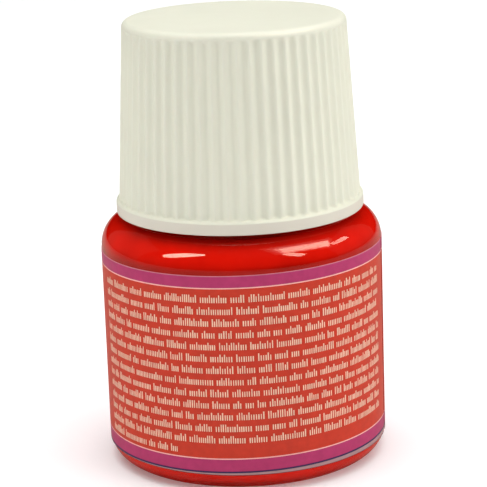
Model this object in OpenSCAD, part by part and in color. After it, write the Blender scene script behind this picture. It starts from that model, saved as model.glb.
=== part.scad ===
// Small glass paint jar with a wrap label and a two-piece ribbed screw cap.
// Millimetres, +Z up, origin at the centre of the base, on the surface it stands on.

/* [Glass body] */
// Outer diameter of the straight wall
body_d = 43; // [42:0.5:44]
// Thickness of the glass side wall
wall_t = 1.5; // [1.3:0.1:1.9]
// Radius of the rounded heel
heel_r = 3.6; // [3:0.1:4.2]
// Height where the shoulder starts to curve in
shoulder_z = 33.7; // [33.2:0.1:34]
// Radius of the shoulder
shoulder_r = 4.7; // [4.4:0.1:4.8]
// Thickness of the glass in the base
base_t = 1.6; // [1.4:0.1:3]
// Depth of the push-up under the base
push_up = 0.6; // [0.4:0.1:0.8]

/* [Neck] */
// Height of the sealing rim
rim_z = 53.9; // [53.5:0.1:54.2]
// Outer radius of the neck between its threads
neck_r = 13.7; // [13.4:0.1:13.8]
// Radius of the mouth
mouth_r = 11.8; // [11:0.1:12]
// Rise of the thread in one turn
thread_lead = 4.2; // [4:0.1:4.4]
// Height of the glass thread off the neck
thread_depth = 1.2; // [1:0.05:1.2]

/* [Label and paint] */
// Lower edge of the label
label_z = 2.7; // [2:0.1:3.5]
// Upper edge of the label
label_top_z = 33.6; // [32:0.1:33.6]
// Thickness of the label film
label_t = 0.07; // [0.05:0.01:0.1]
// Level of the paint
paint_z = 40.5; // [39:0.5:47]

/* [Cap] */
// Underside of the cap's flange
flange_z = 38.8; // [38.8:0.1:39.2]
// Height of the flange band
flange_h = 2; // [1.6:0.1:2.4]
// Outer radius of the flange
flange_r = 18.9; // [18.8:0.1:19.2]
// Height of the cap's top face
cap_top_z = 68; // [67:0.1:70]
// Radius over the ribs just above the flange
cap_low_r = 18.43; // [18.3:0.01:18.6]
// Radius over the ribs at the rounded edge
cap_high_r = 16.9; // [16.7:0.1:17.2]
// Number of grip ribs
rib_count = 58; // [48:1:60]
// Height of a rib above the valley beside it
rib_h = 0.45; // [0.3:0.05:0.5]
// Radius of the top edge
edge_r = 1; // [0.9:0.1:1.6]
// Thickness of the cap's shell below the valleys
shell_t = 1.1; // [1:0.05:1.2]
// Thickness of the sealing wad
liner_t = 1; // [0.8:0.1:1.2]

/* [Hidden] */
$fn = 96;
body_r = body_d / 2;
inner_r = body_r - wall_t;
shoulder_top_z = shoulder_z + shoulder_r;
roof_z = shoulder_top_z - wall_t;
foot_w = 2.6;
ring_in_r = body_r - heel_r - foot_w;
heel_in_r = heel_r - wall_t;
shoulder_in_r = shoulder_r - wall_t;
throat_r = 1;
bead_r = 15.4;
bead_z = 39.6;
bead_h = 1.6;
glass_bevel = 0.4;
rib_r = 0.7;
rib_foot = 0.3;
rib_fade = 0.5;
rim_proud = 0.03;
flange_bevel = 0.2;
// Thread: half-widths at root and crest, how deep it sits in its wall, and its ends
thread_base_half = 1.05;
thread_slope = 0.5;
thread_root_in = 0.25;
thread_z = 44.4;
thread_turns = 1.25;
thread_run_out = 24;
thread_step = 6;
// Insert
insert_z = 41.8;
insert_in_r = 15.2;
insert_top_t = 1.2;
insert_gap = 0.05;
cap_thread_depth = 1.1;
cap_thread_base_half = 0.75;
cap_thread_turns = 1.1;
cap_thread_slack = 0.35;
liner_r = 14.6;
liner_top_z = rim_z + liner_t;
insert_top_z = liner_top_z + insert_top_t;
lug_count = 12;
lug_h = 1.1;
lug_w = 3.6;
lug_in_r = 12.4;
lug_out_r = 15.4;
stop_rib_w = 1.1;
stop_rib_in_r = 12;
snap_h = 0.6;
snap_proud = 0.45;
top_t = 1.3;
chamfer = 0.7;
arc_steps = 12;

// Points of an arc about [cx, cz] from angle a0 to a1, in degrees
function arc(cx, cz, r, a0, a1) =
    [for (i = [0 : arc_steps]) let (a = a0 + (a1 - a0) * i / arc_steps)
        [cx + r * cos(a), cz + r * sin(a)]];

// Radius over the ribs at a height, and the inside radius of the shell there
function rib_crest(z) =
    let (low = flange_z + flange_h, high = cap_top_z - edge_r)
    cap_low_r + (cap_high_r - cap_low_r) * (z - low) / (high - low);
function shell_in(z) = rib_crest(z) - rib_h - shell_t;

// Outline of the inside of the glass, from the axis out and up to the foot of the mouth
function cavity_to_neck() = concat(
    [[0, base_t]],
    arc(inner_r - heel_in_r, base_t + heel_in_r, heel_in_r, -90, 0),
    arc(inner_r - shoulder_in_r, roof_z - shoulder_in_r, shoulder_in_r, 0, 90),
    arc(mouth_r + throat_r, roof_z + throat_r, throat_r, -90, -180));

// A thread on a cylinder: trapezium in section, swept up a right-hand helix.
// side is 1 where it stands out from the wall and -1 where it stands in.
module thread(wall_r, depth, base_half, turns, z0, side) {
    steps = round(turns * 360 / thread_step);
    run = round(thread_run_out / thread_step);
    function rise(i) = min(1, (i + 0.5) / run, (steps - i + 0.5) / run);
    function section(i) =
        let (d = depth * rise(i), root = base_half + thread_root_in * thread_slope,
             crest = base_half - d * thread_slope)
        [[-side * thread_root_in, -root], [side * d, -crest],
         [side * d, crest], [-side * thread_root_in, root]];
    points = [for (i = [0 : steps]) let (a = i * thread_step)
        for (p = section(i))
            [(wall_r + p[0]) * cos(a), (wall_r + p[0]) * sin(a),
             z0 + thread_lead * a / 360 + p[1]]];
    sides = [for (i = [0 : steps - 1]) for (k = [0 : 3])
        let (a = 4 * i + k, b = 4 * i + (k + 1) % 4)
        each [[a, b, b + 4], [a, b + 4, a + 4]]];
    ends = [[0, 3, 2], [0, 2, 1],
            [4 * steps, 4 * steps + 1, 4 * steps + 2], [4 * steps, 4 * steps + 2, 4 * steps + 3]];
    faces = concat(sides, ends);
    // Faces run clockwise seen from outside, and a thread that stands in turns them over
    polyhedron(points, side > 0 ? faces : [for (f = faces) [f[0], f[2], f[1]]], convexity = 6);
}

module glass_jar() {
    outer = concat(
        [[0, push_up], [ring_in_r - push_up, push_up], [ring_in_r, 0]],
        arc(body_r - heel_r, heel_r, heel_r, -90, 0),
        arc(body_r - shoulder_r, shoulder_z, shoulder_r, 0, 90),
        [[neck_r, shoulder_top_z], [neck_r, bead_z], [bead_r, bead_z + glass_bevel],
         [bead_r, bead_z + bead_h - glass_bevel], [neck_r, bead_z + bead_h],
         [neck_r, rim_z - glass_bevel], [neck_r - glass_bevel, rim_z], [0, rim_z]]);
    color("#dfe8e6", 0.45)
    difference() {
        union() {
            rotate_extrude() polygon(outer);
            thread(neck_r, thread_depth, thread_base_half, thread_turns, thread_z, 1);
        }
        rotate_extrude() polygon(concat(cavity_to_neck(), [[mouth_r, rim_z + 1], [0, rim_z + 1]]));
    }
}

module label() {
    color("#c9402a")
    translate([0, 0, label_z])
    difference() {
        cylinder(h = label_top_z - label_z, r = body_r + label_t);
        translate([0, 0, -1]) cylinder(h = label_top_z - label_z + 2, r = body_r);
    }
}

module paint_fill() {
    color("#c4170c")
    rotate_extrude() polygon(concat(cavity_to_neck(), [[mouth_r, paint_z], [0, paint_z]]));
}

// One grip rib: a slim rod laid along the taper, its ends buried in the flange and the rim
module grip_rib() {
    low_z = flange_z + flange_h - rib_foot;
    high_z = cap_top_z - edge_r + 0.1;
    low_r = rib_crest(low_z) - rib_r;
    high_r = rib_crest(high_z) - rib_r;
    lean = atan2(high_r - low_r, high_z - low_z);
    translate([low_r, 0, low_z]) rotate([0, lean, 0])
        cylinder(h = (high_z - low_z) / cos(lean), r = rib_r, $fn = 24);
}

module cap_shell() {
    band_z = flange_z + flange_h;
    edge_z = cap_top_z - edge_r;
    rim_r = cap_high_r + rim_proud;
    outside = concat(
        [[0, flange_z], [flange_r - flange_bevel, flange_z], [flange_r, flange_z + flange_bevel],
         [flange_r, band_z - flange_bevel], [flange_r - flange_bevel, band_z],
         [rib_crest(band_z) - rib_h, band_z],
         [cap_high_r - rib_h, edge_z - rib_fade]],
        arc(rim_r - edge_r, edge_z, edge_r, 0, 90),
        [[0, cap_top_z]]);
    snap_z = insert_z - snap_h;
    roof = cap_top_z - top_t;
    hollow = [
        [0, flange_z - 1], [shell_in(flange_z) + chamfer, flange_z - 1],
        [shell_in(flange_z) + chamfer, flange_z],
        [shell_in(flange_z), flange_z + chamfer],
        [shell_in(snap_z), snap_z],
        [shell_in(snap_z) - snap_proud, snap_z + snap_h / 2],
        [shell_in(insert_z), insert_z - 0.05],
        [shell_in(roof), roof],
        [0, roof]];
    color("#ecece0")
    union() {
        difference() {
            rotate_extrude() polygon(outside);
            rotate_extrude() polygon(hollow);
        }
        // The front, at -Y, has a rib in the middle
        for (i = [0 : rib_count - 1]) rotate([0, 0, (i + 0.5) * 360 / rib_count]) grip_rib();
        // Stop ribs under the top, which hold the insert down and turn it by its lugs
        for (i = [0 : lug_count - 1]) rotate([0, 0, i * 360 / lug_count])
            translate([stop_rib_in_r, -stop_rib_w / 2, insert_top_z])
                cube([shell_in(insert_top_z) - stop_rib_in_r + 0.2, stop_rib_w,
                      roof - insert_top_z + 0.3]);
    }
}

module cap_insert() {
    wall_out = function (z) shell_in(z) - insert_gap;
    cap_thread_z = thread_z - thread_base_half - cap_thread_slack;
    color("#f4f4ee")
    union() {
        difference() {
            rotate_extrude() polygon([
                [0, insert_z], [wall_out(insert_z), insert_z],
                [wall_out(insert_top_z), insert_top_z], [0, insert_top_z]]);
            translate([0, 0, insert_z - 1])
                cylinder(h = liner_top_z - insert_z + 1, r = insert_in_r);
        }
        thread(insert_in_r, cap_thread_depth, cap_thread_base_half, cap_thread_turns,
               cap_thread_z, -1);
        for (i = [0 : lug_count - 1]) rotate([0, 0, (i + 0.5) * 360 / lug_count])
            translate([lug_in_r, -lug_w / 2, insert_top_z - 0.2])
                cube([lug_out_r - lug_in_r, lug_w, lug_h + 0.2]);
    }
}

module cap_liner() {
    color("#e6e3d6")
    translate([0, 0, rim_z]) cylinder(h = liner_t, r = liner_r);
}

glass_jar();
label();
paint_fill();
cap_shell();
cap_insert();
cap_liner();
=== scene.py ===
"""Looks of a small glass paint jar: glass, paint, printed film and a ribbed screw cap."""

import math
import random

import bpy
import numpy as np
from mathutils import Matrix, Quaternion, Vector


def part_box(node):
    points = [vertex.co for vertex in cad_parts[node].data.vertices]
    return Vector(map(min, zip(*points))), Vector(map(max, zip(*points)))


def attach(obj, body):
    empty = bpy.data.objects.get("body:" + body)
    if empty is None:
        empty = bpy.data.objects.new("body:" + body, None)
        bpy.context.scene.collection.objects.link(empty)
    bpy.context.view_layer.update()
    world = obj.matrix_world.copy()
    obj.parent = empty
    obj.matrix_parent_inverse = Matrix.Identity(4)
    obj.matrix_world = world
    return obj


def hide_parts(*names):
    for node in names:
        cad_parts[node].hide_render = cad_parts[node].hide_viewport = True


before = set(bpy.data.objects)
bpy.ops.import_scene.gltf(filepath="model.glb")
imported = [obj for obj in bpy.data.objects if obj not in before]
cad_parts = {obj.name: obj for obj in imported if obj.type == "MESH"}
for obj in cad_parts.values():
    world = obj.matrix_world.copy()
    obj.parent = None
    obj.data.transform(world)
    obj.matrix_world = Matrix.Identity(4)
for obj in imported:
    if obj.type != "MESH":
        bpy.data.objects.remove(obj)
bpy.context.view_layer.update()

MM = 0.001
TAU = 2 * math.pi
TINY = 0.01 * MM  # slack when a point or face is told by its place

# ---------------------------------------------------------------- sizes, in metres
_, jar_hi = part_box("glass_jar")
label_lo, label_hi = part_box("label")
paint_lo, paint_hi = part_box("paint_fill")
cap_lo, cap_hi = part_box("cap_shell")
insert_lo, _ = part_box("cap_insert")
liner_lo, liner_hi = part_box("cap_liner")

BODY_R = jar_hi.x
INNER_R = paint_hi.x
BASE_T = paint_lo.z
PAINT_Z = paint_hi.z
RIM_Z = jar_hi.z
LABEL_R = label_hi.x
LABEL_Z, LABEL_TOP = label_lo.z, label_hi.z
FLANGE_R, FLANGE_Z, CAP_TOP = cap_hi.x, cap_lo.z, cap_hi.z
LINER_R = liner_hi.x
WALL_T = BODY_R - INNER_R

# Glass body: the CAD's arcs, with its small bevels rounded
HEEL_R = 3.6 * MM
PUSH_UP = 0.6 * MM
FOOT_W = 2.6 * MM
FOOT_IN_R = BODY_R - HEEL_R - FOOT_W
SHOULDER_R = 4.7 * MM
SHOULDER_Z = 33.7 * MM
SHOULDER_TOP = SHOULDER_Z + SHOULDER_R
ROOF_Z = SHOULDER_TOP - WALL_T
HEEL_IN_R = HEEL_R - WALL_T
SHOULDER_IN_R = SHOULDER_R - WALL_T
NECK_R = 13.7 * MM
NECK_FILLET = 0.6 * MM
MOUTH_R = 11.8 * MM
THROAT_R = 1 * MM
BEAD_R = 15.4 * MM
BEAD_Z = 39.6 * MM
BEAD_ROUND = 0.8 * MM
BEAD_TOP = BEAD_Z + 2 * BEAD_ROUND
RIM_ROUND = 0.5 * MM

# Threads: half is a thread's half-width, and a CREST_FLAT above 1 gives it a flat crest
LEAD = 4.2 * MM
GLASS_THREAD = {"z": 44.4 * MM, "turns": 1.25, "depth": 1.2 * MM, "half": 1.0 * MM}
CAP_THREAD = {"z": 43.0 * MM, "turns": 1.1, "depth": 1.1 * MM, "half": 0.7 * MM}
CREST_FLAT = 1.25
RUN_OUT = math.radians(24)

# Cap
BAND_H = 2 * MM
EDGE_R = 1.0 * MM
LEDGE_ROUND = 0.4 * MM
UNDER_ROUND = 0.22 * MM
CAP_LOW_R = 18.43 * MM
CAP_HIGH_R = 16.9 * MM
RIB_COUNT = 58
RIB_H = 0.45 * MM
RIB_FADE = 1.4 * MM
RIB_FOOT = 0.5 * MM
VALLEY_SHAPE = 0.8  # below 1 it widens the valleys between the ribs
SHELL_T = 1.1 * MM
SHELL_CHAMFER = 0.7 * MM
CAP_ROOF_T = 1.3 * MM
INSERT_IN_R = 15.2 * MM
INSERT_EDGE = 0.2 * MM
INSERT_ROOF = liner_hi.z
INSERT_TOP = INSERT_ROOF + 1.2 * MM
INSERT_GAP = 0.05 * MM
LINER_EDGE = 0.15 * MM
LINER_PRESS = 0.06 * MM

# Paint: how far it reaches into the glass, so no air shows between, and its meniscus
PAINT_BITE = 0.03 * MM
MENISCUS = 0.5 * MM
MENISCUS_STEEPNESS = 9

# Printed film, from the bottom up
FILM_FOOT = LABEL_Z + 0.22 * MM
MARGIN_TOP = LABEL_Z + 0.64 * MM
NAVY_TOP = MARGIN_TOP + 0.27 * MM
PINK_LOW = 5.56 * MM
PINK_HIGH = 31.73 * MM
LINE_W = 0.18 * MM
EDGE_LINE_W = 0.1 * MM
LABEL_GAP_AT = math.radians(-11)
LABEL_GAP = math.radians(2.4)
LABEL_SKEW = 0.32 * MM  # the film went on a little crooked: higher at +X, lower at -X
FILM_CLEARANCE = 0.002 * MM

# Printed marks: rows of plain strokes that stand for small print
MARK_SEED = 7
MARK_ROWS = 14
MARK_FIRST_Z = 30.15 * MM
MARK_PITCH = 1.797 * MM
MARK_FROM = math.radians(-162)
MARK_TO = math.radians(-21)
MARK_LAST_TO = MARK_FROM + math.radians(42)
MARK_TALL = 1.15 * MM
MARK_SHORT = 0.8 * MM
MARK_TALL_SHARE = 0.3
MARK_WIDTH_MM = (0.14, 0.2)
MARK_CELL = 0.345 * MM
MARK_CELL_SPREAD = (0.9, 1.1)
MARK_GROUPS = (4, 6, 8, 10, 12, 16)
MARK_GROUP_GAP = 0.42 * MM
MARK_PROUD = 0.02 * MM
MARK_SUNK = 0.01 * MM

# Segments round each turned piece; the cap has its own number for each rib
GLASS_SEGMENTS = 192
PAINT_SEGMENTS = 160
LABEL_SEGMENTS = 320
INSERT_SEGMENTS = 192
LINER_SEGMENTS = 128
SEGMENTS_PER_RIB = 12

# Greatest spacing of the rows of faces
FLAT_STEP = 4 * MM
WALL_STEP = 3 * MM
RIB_STEP = 2 * MM
RIB_HEAD_STEP = 0.2 * MM
RIB_FOOT_STEP = 0.15 * MM
MOUTH_STEP = 2 * MM
NECK_THREAD_STEP = 0.17 * MM
BORE_THREAD_STEP = 0.15 * MM


# ---------------------------------------------------------------- mesh helpers
def arc(cx, cz, r, start, end, steps=14):
    """Points of an arc in the r-z plane, angles in degrees."""
    angles = np.radians(np.linspace(start, end, steps + 1))
    return [(cx + r * math.cos(a), cz + r * math.sin(a)) for a in angles]


def line(a, b, step):
    """Points from a to b, both kept, no further apart than step."""
    count = max(1, math.ceil(math.dist(a, b) / step))
    return [
        (a[0] + (b[0] - a[0]) * i / count, a[1] + (b[1] - a[1]) * i / count)
        for i in range(count + 1)
    ]


def joined(*runs):
    """One outline from several runs of points, without repeated points."""
    same = 1e-7
    points = []
    for run in runs:
        for p in run:
            if not points or math.dist(points[-1], p) > same:
                points.append(p)
    return points


def add_mesh(name, vertices, faces, materials, smooth_angle=35):
    """A new object from plain lists, smooth-shaded with its sharp edges kept."""
    mesh = bpy.data.meshes.new(name)
    mesh.from_pydata([tuple(v) for v in vertices], [], faces)
    mesh.validate()
    for material in materials:
        mesh.materials.append(material)
    mesh.shade_smooth()
    mesh.set_sharp_from_angle(angle=math.radians(smooth_angle))
    obj = bpy.data.objects.new(name, mesh)
    bpy.context.scene.collection.objects.link(obj)
    return obj


def lathe(name, outline, segments, materials, shape=None, slot_of=None, smooth_angle=35):
    """Turns an outline that starts and ends on the axis into a closed solid.

    shape(theta, r, z) may change the radii; slot_of(r, z) picks a face's material."""
    inner = outline[1:-1]
    r = np.array([p[0] for p in inner])
    z = np.array([p[1] for p in inner])
    theta = np.arange(segments) * TAU / segments
    radii = np.repeat(r[:, None], segments, axis=1)
    heights = np.repeat(z[:, None], segments, axis=1)
    if shape:
        radii = shape(theta[None, :], radii, heights)
    rows = len(inner)
    xs, ys = radii * np.cos(theta), radii * np.sin(theta)
    vertices = np.stack([xs, ys, heights], axis=2).reshape(-1, 3).tolist()
    first, last = len(vertices), len(vertices) + 1
    vertices += [(0, 0, outline[0][1]), (0, 0, outline[-1][1])]
    faces = []
    for i in range(rows - 1):
        low, high = i * segments, (i + 1) * segments
        for k in range(segments):
            n = (k + 1) % segments
            faces.append((low + k, low + n, high + n, high + k))
    top = (rows - 1) * segments
    for k in range(segments):
        n = (k + 1) % segments
        faces.append((first, n, k))
        faces.append((last, top + k, top + n))
    obj = add_mesh(name, vertices, faces, materials, smooth_angle)
    if slot_of:
        for polygon in obj.data.polygons:
            c = polygon.center
            polygon.material_index = slot_of(math.hypot(c.x, c.y), c.z)
    return obj


def eased(t):
    return t * t * (3 - 2 * t)


def thread_height(theta, z, thread):
    """How far a right-hand thread stands out of its wall, with rounded flanks and faded ends."""
    total = thread["turns"] * TAU
    height = np.zeros_like(z + theta)
    for turn in range(math.ceil(thread["turns"]) + 1):
        along = theta + turn * TAU
        middle = thread["z"] + LEAD * along / TAU
        across = np.clip(CREST_FLAT - np.abs(z - middle) / thread["half"], 0, 1)
        ends = np.clip(np.minimum(along, total - along) / RUN_OUT, 0, 1)
        height = np.maximum(height, eased(across) * eased(ends))
    return height * thread["depth"]


# ---------------------------------------------------------------- material helpers
def new_material(name, colour, roughness, **sockets):
    """A Principled material with its plain values on the shader's own sockets."""
    material = bpy.data.materials.new(name)
    material.use_nodes = True
    shader = shader_of(material)
    shader.inputs["Base Color"].default_value = (*colour, 1)
    shader.inputs["Roughness"].default_value = roughness
    for key, value in sockets.items():
        shader.inputs[key.replace("_", " ")].default_value = value
    return material


def shader_of(material):
    return material.node_tree.nodes["Principled BSDF"]


def output_of(material):
    return material.node_tree.nodes["Material Output"]


def node(material, kind, **inputs):
    made = material.node_tree.nodes.new(kind)
    for key, value in inputs.items():
        made.inputs[key].default_value = value
    return made


def link(material, a, b):
    material.node_tree.links.new(a, b)


def shade(colour, factor):
    return tuple(c * factor for c in colour)


def noise(material, scale, detail=3.0, stretch=(1, 1, 1)):
    """Noise in the piece's own coordinates, in metres, so it has one size on every piece."""
    where = node(material, "ShaderNodeTexCoord")
    mapping = node(material, "ShaderNodeMapping")
    mapping.inputs["Scale"].default_value = stretch
    texture = node(material, "ShaderNodeTexNoise", Scale=scale, Detail=detail)
    link(material, where.outputs["Object"], mapping.inputs["Vector"])
    link(material, mapping.outputs["Vector"], texture.inputs["Vector"])
    return texture.outputs["Fac"]


def vary_colour(material, source, dark, light):
    """Colour from dark to light as source goes from 0.3 to 0.7."""
    ramp = node(material, "ShaderNodeValToRGB")
    for stop, position, colour in zip(ramp.color_ramp.elements, (0.3, 0.7), (dark, light)):
        stop.position = position
        stop.color = (*colour, 1)
    link(material, source, ramp.inputs["Fac"])
    link(material, ramp.outputs["Color"], shader_of(material).inputs["Base Color"])


def vary_roughness(material, source, low, high):
    spread = node(material, "ShaderNodeMapRange")
    spread.inputs["To Min"].default_value = low
    spread.inputs["To Max"].default_value = high
    link(material, source, spread.inputs["Value"])
    link(material, spread.outputs["Result"], shader_of(material).inputs["Roughness"])


def bump(material, source, depth, strength):
    relief = node(material, "ShaderNodeBump", Strength=strength, Distance=depth)
    link(material, source, relief.inputs["Height"])
    link(material, relief.outputs["Normal"], shader_of(material).inputs["Normal"])


def by_ray(material, ray, usual, instead):
    """The instead shader for rays of this kind, and the usual one for the others."""
    path = node(material, "ShaderNodeLightPath")
    mix = node(material, "ShaderNodeMixShader")
    link(material, path.outputs[ray], mix.inputs["Fac"])
    link(material, usual, mix.inputs[1])
    link(material, instead, mix.inputs[2])
    return mix.outputs["Shader"]


def paint_shade_in_reflections(material, colour):
    """Painted shade: shows this plain, darker colour where the piece is seen mirrored in the glass,
    or through it.
    """
    surface = shader_of(material).outputs["BSDF"]
    plain = node(material, "ShaderNodeBsdfDiffuse", Color=(*colour, 1)).outputs["BSDF"]
    surface = by_ray(material, "Is Glossy Ray", surface, plain)
    link(material, surface, output_of(material).inputs["Surface"])


# ---------------------------------------------------------------- kinds of material
def glass_material():
    """Clear moulded glass with slow waviness. Lamps and bounced light reach what is behind it."""
    tint = (0.96, 0.985, 0.97)
    glass = new_material("clear_glass", tint, 0.035, Transmission_Weight=1.0, IOR=1.5)
    waves = noise(glass, scale=95, detail=1.5, stretch=(1, 1, 0.6))
    bump(glass, waves, depth=0.05 * MM, strength=0.5)
    through = node(glass, "ShaderNodeBsdfTransparent", Color=(0.96, 0.98, 0.97, 1)).outputs["BSDF"]
    surface = shader_of(glass).outputs["BSDF"]
    for ray in ("Is Shadow Ray", "Is Diffuse Ray"):
        surface = by_ray(glass, ray, surface, through)
    link(glass, surface, output_of(glass).inputs["Surface"])
    return glass


def paint_material(name, roughness, level):
    """Opaque red paint with slow streaks; level is how much its surface shines."""
    red = (0.83, 0.0095, 0.003)
    paint = new_material(
        name, red, roughness, IOR=1.45, Specular_IOR_Level=level, Subsurface_Weight=0.25,
        Subsurface_Radius=(1, 0.2, 0.1), Subsurface_Scale=2 * MM
    )
    streaks = noise(paint, scale=140, detail=5)
    vary_colour(paint, streaks, dark=shade(red, 0.86), light=shade(red, 1.08))
    bump(paint, noise(paint, scale=120), depth=0.03 * MM, strength=0.4)
    return paint


def printed(name, colour, roughness=0.36):
    """Ink on satin film: faint mottling, and the slight orange peel of a stretched film."""
    material = new_material(name, colour, roughness, IOR=1.48, Specular_IOR_Level=0.3)
    mottling, peel = noise(material, scale=900, detail=4), noise(material, scale=330, detail=2)
    vary_colour(material, mottling, dark=shade(colour, 0.93), light=shade(colour, 1.06))
    vary_roughness(
        material, noise(material, scale=260), low=roughness - 0.07, high=roughness + 0.08
    )
    bump(material, peel, depth=0.01 * MM, strength=0.6)
    return material


def plastic_material(name, colour, roughness, glow):
    """Moulded plastic that lets a little light in, with fine texture and faint flow marks."""
    plastic = new_material(
        name, colour, roughness, IOR=1.49, Subsurface_Weight=glow, Subsurface_Scale=1.2 * MM
    )
    flow, texture = noise(plastic, scale=70), noise(plastic, scale=2600, detail=2)
    vary_colour(plastic, flow, dark=shade(colour, 0.975), light=shade(colour, 1.02))
    vary_roughness(
        plastic, noise(plastic, scale=420), low=roughness - 0.06, high=roughness + 0.08
    )
    bump(plastic, texture, depth=0.006 * MM, strength=0.5)
    return plastic


def foam_material():
    """Matt foam with fine cells."""
    foam = new_material("liner_foam", (0.72, 0.7, 0.62), 0.85)
    cells = node(foam, "ShaderNodeTexVoronoi", Scale=3200)
    where = node(foam, "ShaderNodeTexCoord")
    link(foam, where.outputs["Object"], cells.inputs["Vector"])
    bump(foam, cells.outputs["Distance"], depth=0.05 * MM, strength=0.6)
    vary_colour(foam, noise(foam, scale=600), dark=(0.68, 0.66, 0.58), light=(0.78, 0.76, 0.68))
    return foam


# ---------------------------------------------------------------- materials
GLASS = glass_material()
PAINT_SIDE = paint_material("red_paint_behind_glass", 0.5, 0.0)
PAINT_TOP = paint_material("red_paint_surface", 0.12, 0.5)

FIELD = printed("label_field", (0.6, 0.038, 0.014))
PURPLE = printed("label_purple", (0.47, 0.034, 0.14))
PINK = printed("label_pink", (0.92, 0.46, 0.42))
NAVY = printed("label_navy", (0.045, 0.02, 0.09))
MARGIN = printed("label_margin", (0.42, 0.25, 0.26), 0.2)
# Painted shadow: a dark red line along the film's lower edge, made like the inks
FOOT_EDGE_SHADOW = printed("label_foot_edge_shadow", (0.2, 0.035, 0.03))
TOP_EDGE = printed("label_top_edge", (0.66, 0.22, 0.28))
INK = printed("label_ink", (0.87, 0.6, 0.44), 0.45)

CAP_WHITE = (0.8, 0.8, 0.665)
CAP_PLASTIC = plastic_material("cap_plastic", CAP_WHITE, 0.42, 0.02)
# Painted shade: the band is the cap's own plastic, made a darker, pinker white
CAP_BAND_PAINTED_SHADE = plastic_material("cap_band_painted_shade", (0.745, 0.705, 0.6), 0.42, 0.02)
# The underside is the cap's white, shaded only where it is seen mirrored (below)
CAP_UNDERSIDE = plastic_material("cap_underside", CAP_WHITE, 0.42, 0.02)
INSERT_PLASTIC = plastic_material("insert_plastic", (0.82, 0.82, 0.77), 0.4, 0.2)
FOAM = foam_material()
# Painted shade in reflections: a dim red for the band, and a near-black red for the cap's underside
# and hollow and for the insert
paint_shade_in_reflections(CAP_BAND_PAINTED_SHADE, (0.35, 0.13, 0.09))
for shaded in (CAP_UNDERSIDE, INSERT_PLASTIC):
    paint_shade_in_reflections(shaded, (0.05, 0.008, 0.005))


# ---------------------------------------------------------------- pieces
def cavity(top_z):
    """Inside of the glass, from the axis out and then up the mouth to top_z."""
    return joined(
        line((0, BASE_T), (INNER_R - HEEL_IN_R, BASE_T), FLAT_STEP),
        arc(INNER_R - HEEL_IN_R, BASE_T + HEEL_IN_R, HEEL_IN_R, -90, 0),
        line((INNER_R, BASE_T + HEEL_IN_R), (INNER_R, ROOF_Z - SHOULDER_IN_R), FLAT_STEP),
        arc(INNER_R - SHOULDER_IN_R, ROOF_Z - SHOULDER_IN_R, SHOULDER_IN_R, 0, 90),
        arc(MOUTH_R + THROAT_R, ROOF_Z + THROAT_R, THROAT_R, -90, -180),
        line((MOUTH_R, ROOF_Z + THROAT_R), (MOUTH_R, top_z), MOUTH_STEP),
    )


def make_glass():
    """Heel, push-up, shoulder, bead, thread and rim in one closed skin."""
    rim_low = RIM_Z - RIM_ROUND
    thread_foot = BEAD_TOP + 0.1 * MM
    foot_bevel = [(FOOT_IN_R + 0.25 * MM, 0.06 * MM), (FOOT_IN_R + 0.5 * MM, 0)]
    outside = joined(
        line((0, PUSH_UP), (FOOT_IN_R - PUSH_UP, PUSH_UP), FLAT_STEP),
        arc(FOOT_IN_R - PUSH_UP, 0, PUSH_UP, 90, 20, 6),
        foot_bevel,
        arc(BODY_R - HEEL_R, HEEL_R, HEEL_R, -90, 0, 18),
        line((BODY_R, HEEL_R), (BODY_R, SHOULDER_Z), WALL_STEP),
        arc(BODY_R - SHOULDER_R, SHOULDER_Z, SHOULDER_R, 0, 90, 24),
        arc(NECK_R + NECK_FILLET, SHOULDER_TOP + NECK_FILLET, NECK_FILLET, -90, -180, 6),
        arc(BEAD_R - BEAD_ROUND, BEAD_Z + BEAD_ROUND, BEAD_ROUND, -90, 90, 10),
        line((NECK_R, thread_foot), (NECK_R, rim_low), NECK_THREAD_STEP),
        arc(NECK_R - RIM_ROUND, rim_low, RIM_ROUND, 0, 90, 6),
        arc(MOUTH_R + RIM_ROUND, rim_low, RIM_ROUND, 90, 180, 6),
    )
    outline = joined(outside, reversed(cavity(rim_low)))

    def shape(theta, r, z):
        wall = (np.abs(r - NECK_R) < TINY) & (z > BEAD_TOP)
        return r + np.where(wall, thread_height(theta, z, GLASS_THREAD), 0)

    return lathe("jar_glass", outline, GLASS_SEGMENTS, [GLASS], shape)


def make_paint():
    """Paint pressed a hair into the glass, so no air shows between, with a meniscus on top."""
    floor_top = BASE_T + 0.1 * MM
    wall = [
        (r + PAINT_BITE if r > 0 else 0, z - (PAINT_BITE if z < floor_top else 0))
        for r, z in cavity(PAINT_Z + MENISCUS)
    ]
    surface = [
        (MOUTH_R * f, PAINT_Z + MENISCUS * math.exp((f - 1) * MENISCUS_STEEPNESS))
        for f in np.linspace(0.98, 0, 26)
    ]
    surface[-1] = (0, surface[-1][1])
    materials = [PAINT_SIDE, PAINT_TOP]

    def slot_of(r, z):
        on_top = z > PAINT_Z - TINY and r < MOUTH_R
        return materials.index(PAINT_TOP if on_top else PAINT_SIDE)

    outline = joined(wall, surface)
    return lathe("paint", outline, PAINT_SEGMENTS, materials, slot_of=slot_of)


def skew(angle):
    return LABEL_SKEW * math.cos(angle)


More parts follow.
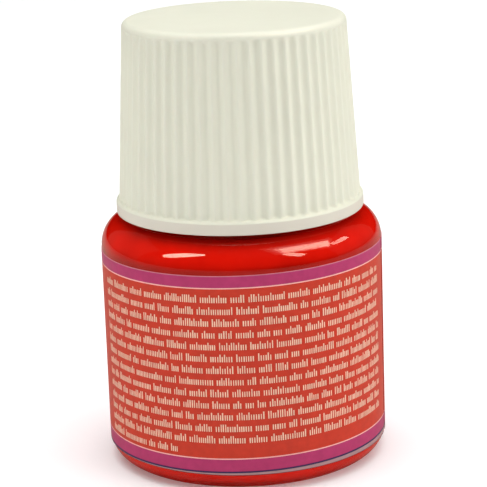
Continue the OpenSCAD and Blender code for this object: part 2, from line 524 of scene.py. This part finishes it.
def make_label():
    """Wrapped film with a narrow gap between its ends; each printed band is its own faces."""
    bands = [  # the top of each band, and its ink
        # The lowest band is the painted shadow along the film's lower edge, not ink
        (FILM_FOOT + EDGE_LINE_W, FOOT_EDGE_SHADOW),
        (MARGIN_TOP, MARGIN),
        (NAVY_TOP, NAVY),
        (PINK_LOW - LINE_W / 2, PURPLE),
        (PINK_LOW + LINE_W / 2, PINK),
        (PINK_HIGH - LINE_W / 2, FIELD),
        (PINK_HIGH + LINE_W / 2, PINK),
        (LABEL_TOP - EDGE_LINE_W, PURPLE),
        (LABEL_TOP, TOP_EDGE),
    ]
    level_rows = 2  # the lower edge and its line stay level, and the print above is skewed
    materials = [MARGIN, NAVY, PURPLE, PINK, FIELD, TOP_EDGE, FOOT_EDGE_SHADOW]
    levels = [FILM_FOOT] + [top for top, _ in bands]
    across = LABEL_SEGMENTS
    start = LABEL_GAP_AT + LABEL_GAP / 2
    angles = np.linspace(start, start + TAU - LABEL_GAP, across + 1)
    vertices = []
    for radius in (LABEL_R, BODY_R + FILM_CLEARANCE):
        for i, level in enumerate(levels):
            for a in angles:
                z = level if i < level_rows else level + skew(a)
                vertices.append((radius * math.cos(a), radius * math.sin(a), z))
    row = across + 1
    layer = row * len(levels)
    faces, slots = [], []
    for i, (_, ink) in enumerate(bands):
        slot = materials.index(ink)
        for k in range(across):
            a, b = i * row + k, (i + 1) * row + k
            faces.append((a, a + 1, b + 1, b))
            faces.append((layer + a, layer + b, layer + b + 1, layer + a + 1))
            slots += [slot] * 2
        a, b = i * row, (i + 1) * row
        faces.append((a, b, layer + b, layer + a))
        faces.append((a + across, layer + a + across, layer + b + across, b + across))
        slots += [slot] * 2
    top = len(bands) * row
    # The film's bottom faces also carry that painted shadow
    for k in range(across):
        faces.append((k, layer + k, layer + k + 1, k + 1))
        faces.append((top + k, top + k + 1, layer + top + k + 1, layer + top + k))
        slots += [materials.index(FOOT_EDGE_SHADOW), materials.index(TOP_EDGE)]
    label = add_mesh("label_film", vertices, faces, materials)
    for polygon, slot in zip(label.data.polygons, slots):
        polygon.material_index = slot
    return label


def stroke(vertices, faces, middle, width, low, high):
    """One printed stroke: a thin closed block that follows the film's curve."""
    base = len(vertices)
    for radius in (LABEL_R - MARK_SUNK, LABEL_R + MARK_PROUD):
        for side, z in ((-1, low), (1, low), (1, high), (-1, high)):
            a = middle + side * width / 2 / LABEL_R
            vertices.append((radius * math.cos(a), radius * math.sin(a), z + skew(middle)))
    block = ((0, 3, 2, 1), (4, 5, 6, 7), (0, 1, 5, 4), (1, 2, 6, 5), (2, 3, 7, 6), (3, 0, 4, 7))
    for quad in block:
        faces.append(tuple(base + i for i in quad))


def make_marks():
    """Small print as rows of plain upright strokes, in word-like groups. No letters are drawn."""
    rng = random.Random(MARK_SEED)
    vertices, faces = [], []
    for row in range(MARK_ROWS):
        foot = MARK_FIRST_Z - row * MARK_PITCH - MARK_TALL / 2
        angle = MARK_FROM
        end = MARK_TO if row < MARK_ROWS - 1 else MARK_LAST_TO
        while angle < end:
            for _ in range(rng.choice(MARK_GROUPS)):
                if angle >= end:
                    break
                tall = MARK_TALL if rng.random() < MARK_TALL_SHARE else MARK_SHORT
                width = rng.uniform(*MARK_WIDTH_MM) * MM
                stroke(vertices, faces, angle, width, foot, foot + tall)
                angle += MARK_CELL * rng.uniform(*MARK_CELL_SPREAD) / LABEL_R
            angle += MARK_GROUP_GAP / LABEL_R
    return add_mesh("label_print", vertices, faces, [INK])


def rib_crest(z):
    """Radius over the ribs at a height."""
    low, high = FLANGE_Z + BAND_H, CAP_TOP - EDGE_R
    return CAP_LOW_R + (CAP_HIGH_R - CAP_LOW_R) * (z - low) / (high - low)


def shell_in(z):
    """Inside radius of the cap's shell at a height."""
    return rib_crest(z) - RIB_H - SHELL_T


def make_cap():
    """Flat top with a round edge, ribbed side, ledge and plain band, hollow inside."""
    band_z, edge_z, roof = FLANGE_Z + BAND_H, CAP_TOP - EDGE_R, CAP_TOP - CAP_ROOF_T
    # Beyond low and high, where the ribs fade out, the rows of faces are closer
    low_z, high_z = band_z + 1 * MM, edge_z - 2 * MM
    low, high = (rib_crest(low_z), low_z), (rib_crest(high_z), high_z)
    outside = joined(
        line((0, CAP_TOP), (CAP_HIGH_R - EDGE_R, CAP_TOP), WALL_STEP),
        arc(CAP_HIGH_R - EDGE_R, edge_z, EDGE_R, 90, 0, 14),
        line((CAP_HIGH_R, edge_z), high, RIB_HEAD_STEP),
        line(high, low, RIB_STEP),
        line(low, (CAP_LOW_R, band_z + 0.1 * MM), RIB_FOOT_STEP),
        arc(FLANGE_R - LEDGE_ROUND, band_z - LEDGE_ROUND, LEDGE_ROUND, 90, 0, 8),
        arc(FLANGE_R - UNDER_ROUND, FLANGE_Z + UNDER_ROUND, UNDER_ROUND, 0, -90, 5),
    )
    mouth = (shell_in(FLANGE_Z), FLANGE_Z + SHELL_CHAMFER)
    inside = joined(
        [(shell_in(FLANGE_Z) + SHELL_CHAMFER, FLANGE_Z), mouth],
        line(mouth, (shell_in(roof), roof), WALL_STEP),
        line((shell_in(roof), roof), (0, roof), FLAT_STEP),
    )
    materials = [CAP_PLASTIC, CAP_UNDERSIDE, CAP_BAND_PAINTED_SHADE]
    near, clear = 0.1 * MM, 0.3 * MM  # slack that tells the faces apart

    def shape(theta, r, z):
        side = (np.abs(r - rib_crest(z)) < 0.05 * MM) & (z > band_z) & (z <= edge_z + 1e-9)
        fade = np.clip((edge_z - z) / RIB_FADE, 0, 1)
        foot = np.clip((z - band_z) / RIB_FOOT, 0, 1)
        fade = np.sqrt(fade * (2 - fade) * foot * (2 - foot))
        valley = 0.5 - 0.5 * np.cos(RIB_COUNT * theta - math.pi)
        return r - np.where(side, RIB_H * valley ** VALLEY_SHAPE * fade, 0)

    # Faces that get painted shade: the underside and hollow, shaded in reflections, and the band,
    # in its darker, pinker white
    def slot_of(r, z):
        under = z < FLANGE_Z + near
        hollow = z < roof + TINY and r < shell_in(z) + clear
        if under or hollow:
            return materials.index(CAP_UNDERSIDE)
        band = z < band_z - clear and r > FLANGE_R - near
        return materials.index(CAP_BAND_PAINTED_SHADE if band else CAP_PLASTIC)

    outline = joined(outside, inside)[::-1]
    segments = RIB_COUNT * SEGMENTS_PER_RIB
    return lathe("cap_outer", outline, segments, materials, shape, slot_of, smooth_angle=50)


def make_insert():
    """Inner threaded cup, which fills the lower part of the cap's shell."""
    foot, edge = insert_lo.z, INSERT_EDGE
    bore_top = INSERT_ROOF - 0.3 * MM

    def wall(z):
        return shell_in(z) - INSERT_GAP

    outline = joined(
        [(0, INSERT_ROOF), (INSERT_IN_R - edge, INSERT_ROOF), (INSERT_IN_R, INSERT_ROOF - edge)],
        line((INSERT_IN_R, INSERT_ROOF - edge), (INSERT_IN_R, foot + edge), BORE_THREAD_STEP),
        arc(INSERT_IN_R + edge, foot + edge, edge, 180, 270, 4),
        arc(wall(foot) - edge, foot + edge, edge, -90, 0, 4),
        line((wall(foot), foot + edge), (wall(INSERT_TOP), INSERT_TOP), WALL_STEP),
        line((wall(INSERT_TOP), INSERT_TOP), (0, INSERT_TOP), FLAT_STEP),
    )

    def shape(theta, r, z):
        bore = (np.abs(r - INSERT_IN_R) < TINY) & (z < bore_top)
        return r - np.where(bore, thread_height(theta, z, CAP_THREAD), 0)

    return lathe("cap_inner", outline, INSERT_SEGMENTS, [INSERT_PLASTIC], shape)


def make_liner():
    """Foam wad with the ring that the glass rim has pressed into it."""
    low, high = liner_lo.z, liner_hi.z
    edge, pressed, slope = LINER_EDGE, low + LINER_PRESS, 0.3 * MM
    outline = joined(
        [(0, low), (MOUTH_R - slope, low), (MOUTH_R, pressed), (NECK_R, pressed),
         (NECK_R + slope, low)],
        arc(LINER_R - edge, low + edge, edge, -90, 0, 4),
        arc(LINER_R - edge, high - edge, edge, 0, 90, 4),
        [(0, high)],
    )
    return lathe("cap_wad", outline, LINER_SEGMENTS, [FOAM])


def place(piece, body, node_name):
    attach(piece, body)
    if node_name:
        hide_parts(node_name)


# ---------------------------------------------------------------- stage
FLOOR_HALF = 4.0
FLOOR_GLOW = 0.13
# Painted reflection: the floor's darker, warmer colour where it is seen mirrored
FLOOR_REFLECTED = (0.42, 0.34, 0.29)


def make_floor():
    """A pale sheet that glows a little, as on a light table, and looks dimmer in reflections."""
    material = new_material("floor_white", (0.93, 0.93, 0.93), 0.9, Specular_IOR_Level=0.0)
    shader_of(material).inputs["Emission Color"].default_value = (1, 1, 1, 1)
    shader_of(material).inputs["Emission Strength"].default_value = FLOOR_GLOW
    paint_shade_in_reflections(material, FLOOR_REFLECTED)
    corners = [(x * FLOOR_HALF, y * FLOOR_HALF, 0) for x, y in ((-1, -1), (1, -1), (1, 1), (-1, 1))]
    add_mesh("floor", corners, [(0, 1, 2, 3)], [material])


LAMP_DISTANCE = 0.9

# Name, direction from the shoulder, width, height, roll in degrees, radiance
HIGHLIGHT_LAMPS = [
    ("highlight_left", (-0.648, -0.376, 0.662), 0.54, 0.2, 49, 14.0),
    ("highlight_right", (0.606, -0.204, 0.769), 0.6, 0.31, -30, 3.6),
    ("highlight_right_core", (0.616, -0.2, 0.763), 0.55, 0.23, -30, 5.2),
    ("highlight_right_end", (0.817, 0.161, 0.554), 0.29, 0.12, -5, 7.0),
    ("highlight_right_low", (0.599, -0.537, 0.594), 0.28, 0.14, -59, 10.0),
    ("highlight_right_haze", (0.58, -0.2, 0.79), 0.66, 0.4, -30, 0.7),
    ("highlight_right_rim", (0.57, -0.2, 0.8), 0.76, 0.5, -30, 0.5),
    ("highlight_veil_left", (-0.88, 0.48, 0.35), 0.9, 0.9, 0, 0.12),
    ("highlight_veil_right", (0.94, 0.34, 0.32), 1.0, 0.9, 0, 0.1),
]
ROUND_LAMPS = ("highlight_left",)
FILL_LAMPS = [
    ("fill_left", (-1, -0.25, 0.2), 0.45, 0.45, 0, 3.12),
    ("fill_key", (0.1, -0.55, 0.83), 0.45, 0.45, 0, 1.4),
    ("fill_key_right", (0.72, -0.45, 0.53), 0.4, 0.4, 0, 3.07),
    ("fill_right", (1, 0.1, 0.25), 0.5, 0.5, 0, 2.17),
    ("fill_top", (0, 0.1, 1), 1.3, 1.3, 0, 2.4),
]
WORLD_LIGHT = 0.05
HIGHLIGHT_TINT = (1, 0.84, 0.66)


def softbox(name, direction, width, height, roll, radiance, highlight):
    """A lamp that faces the shoulder. A highlight lamp is only reflected; a fill only lights."""
    lamp = bpy.data.lights.new(name, "AREA")
    lamp.shape = "ELLIPSE" if name in ROUND_LAMPS else "RECTANGLE"
    lamp.size, lamp.size_y = width, height
    area = width * height * (math.pi / 4 if lamp.shape == "ELLIPSE" else 1)
    lamp.energy = math.pi * radiance * area
    if highlight:
        lamp.color = HIGHLIGHT_TINT
    obj = bpy.data.objects.new(name, lamp)
    bpy.context.scene.collection.objects.link(obj)
    aim = Vector(direction).normalized()
    obj.location = Vector((0, 0, SHOULDER_Z)) + aim * LAMP_DISTANCE
    obj.rotation_mode = "QUATERNION"
    turn = Quaternion((0, 0, 1), math.radians(roll))
    obj.rotation_quaternion = (-aim).to_track_quat("-Z", "Y") @ turn
    obj.visible_diffuse = not highlight
    obj.visible_glossy = highlight


def make_lights():
    for lamp in HIGHLIGHT_LAMPS:
        softbox(*lamp, highlight=True)
    for lamp in FILL_LAMPS:
        softbox(*lamp, highlight=False)
    world = bpy.data.worlds.new("studio")
    bpy.context.scene.world = world
    world.use_nodes = True
    background = world.node_tree.nodes["Background"]
    background.inputs["Color"].default_value = (1, 1, 1, 1)
    background.inputs["Strength"].default_value = WORLD_LIGHT
    world.cycles_visibility.glossy = False


CAMERA_X = -3.6 * MM
CAMERA_DISTANCE = 314.3 * MM
CAMERA_HEIGHT = 115.3 * MM
CAMERA_PITCH = math.radians(14.72)
CAMERA_YAW = math.radians(0.71)
CAMERA_ROLL = math.radians(2.02)
CAMERA_LENS = 155.9
CAMERA_SENSOR = 36


def make_camera():
    """In front of the jar, a little above it and tipped slightly to one side."""
    data = bpy.data.cameras.new("camera")
    data.sensor_width, data.lens = CAMERA_SENSOR, CAMERA_LENS
    data.clip_start, data.clip_end = 0.01, 20
    camera = bpy.data.objects.new("camera", data)
    bpy.context.scene.collection.objects.link(camera)
    where = Matrix.Translation((CAMERA_X, -CAMERA_DISTANCE, CAMERA_HEIGHT))
    yaw = Matrix.Rotation(-CAMERA_YAW, 4, "Z")
    pitch = Matrix.Rotation(math.pi / 2 - CAMERA_PITCH, 4, "X")
    roll = Matrix.Rotation(-CAMERA_ROLL, 4, "Z")
    camera.matrix_world = where @ yaw @ pitch @ roll
    bpy.context.scene.camera = camera


place(make_glass(), "jar", "glass_jar")
place(make_paint(), "jar", "paint_fill")
place(make_label(), "jar", "label")
place(make_marks(), "jar", None)
place(make_cap(), "cap", "cap_shell")
place(make_insert(), "cap", "cap_insert")
place(make_liner(), "wad", "cap_liner")
make_floor()
make_lights()
make_camera()
bpy.context.scene.view_settings.view_transform = "Standard"
